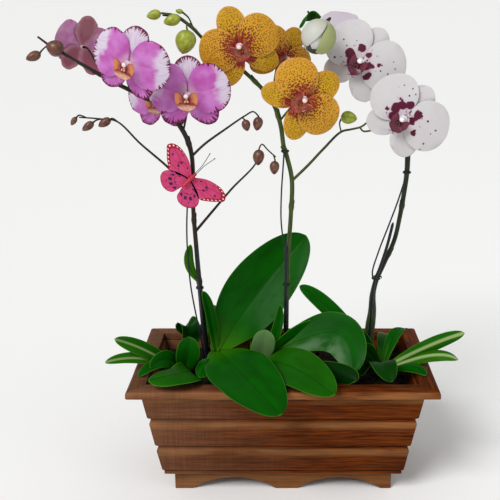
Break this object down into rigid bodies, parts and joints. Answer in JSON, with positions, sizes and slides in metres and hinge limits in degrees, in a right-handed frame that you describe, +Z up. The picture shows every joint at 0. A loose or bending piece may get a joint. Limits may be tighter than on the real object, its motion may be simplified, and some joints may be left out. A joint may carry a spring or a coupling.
{
  "type": "moth orchids in a wooden planter",
  "caption": "Tapered slatted wooden planter on arched skirt boards, holding pink, golden and white moth orchids on staked arching spikes over broad leaves, with a butterfly ornament on a wire.",
  "frame": {"origin": "bottom centre of the bounding box, on the floor plane under the feet", "axes": "+X along the planter to the viewer's right, +Y from the front towards the back, +Z up"},
  "size_m": [0.5324, 0.2764, 0.6051],
  "materials": {
    "wood": "satin brown stain with a worn, open grain",
    "bark": "rough, dull potting bark and moss",
    "petal_pink": "soft satin petal, magenta with a pale rim and a dark purple feathered margin",
    "petal_gold": "soft satin petal, golden yellow with rows of fine red-brown dots and a crimson middle",
    "petal_white": "soft satin petal, white with dark purple blotches round the middle",
    "petal_cream": "satin, pale green white",
    "lip_orange": "waxy, peach to red-brown",
    "lip_red": "waxy dark red with a pale column",
    "lip_purple": "waxy purple with a white column",
    "stem": "smooth, dark olive to near-black brown, with brown and yellow-green buds",
    "leaf": "glossy deep green with paler edges",
    "support": "coated wire and stake, dark navy, slightly glossy",
    "wing": "printed thin sheet, hot pink with dark veins and a dotted red border",
    "butterfly_body": "painted red, with grey feelers"
  },
  "bodies": {
    "root": {"rim_front": "wood", "rim_back": "wood", "rim_left": "wood", "rim_right": "wood", "board_bottom_front": "wood", "board_bottom_back": "wood", "board_bottom_left": "wood", "board_bottom_right": "wood", "board_middle_front": "wood", "board_middle_back": "wood", "board_middle_left": "wood", "board_middle_right": "wood", "board_top_front": "wood", "board_top_back": "wood", "board_top_left": "wood", "board_top_right": "wood", "floor_panel": "wood", "skirt_front": "wood", "skirt_back": "wood", "skirt_left": "wood", "skirt_right": "wood", "bloom_pink_1_tepals": "petal_pink", "bloom_pink_1_lip": "lip_orange", "bloom_pink_2_tepals": "petal_pink", "bloom_pink_2_lip": "lip_orange", "bloom_pink_3_tepals": "petal_pink", "bloom_pink_3_lip": "lip_orange", "bloom_pink_4_tepals": "petal_pink", "bloom_pink_4_lip": "lip_orange", "bloom_gold_1_tepals": "petal_gold", "bloom_gold_1_lip": "lip_red", "bloom_gold_2_tepals": "petal_gold", "bloom_gold_2_lip": "lip_red", "bloom_gold_3_tepals": "petal_gold", "bloom_gold_3_lip": "lip_red", "bloom_white_1_tepals": "petal_white", "bloom_white_1_lip": "lip_purple", "bloom_white_2_tepals": "petal_white", "bloom_white_2_lip": "lip_purple", "bloom_white_3_tepals": "petal_white", "bloom_white_3_lip": "lip_purple", "bloom_white_opening": "petal_cream", "spike_pink": "stem", "spike_gold": "stem", "spike_white": "stem", "leaves_far_left": "leaf", "leaves_left": "leaf", "leaves_middle": "leaf", "leaves_right": "leaf", "stake_pink": "support", "stake_gold": "support", "stake_white": "support", "wire_pink": "support", "wire_gold": "support", "butterfly_wings": "wing", "butterfly_body": "butterfly_body", "butterfly_wire": "support", "bark_medium": "bark"}
  },
  "joints": []
}
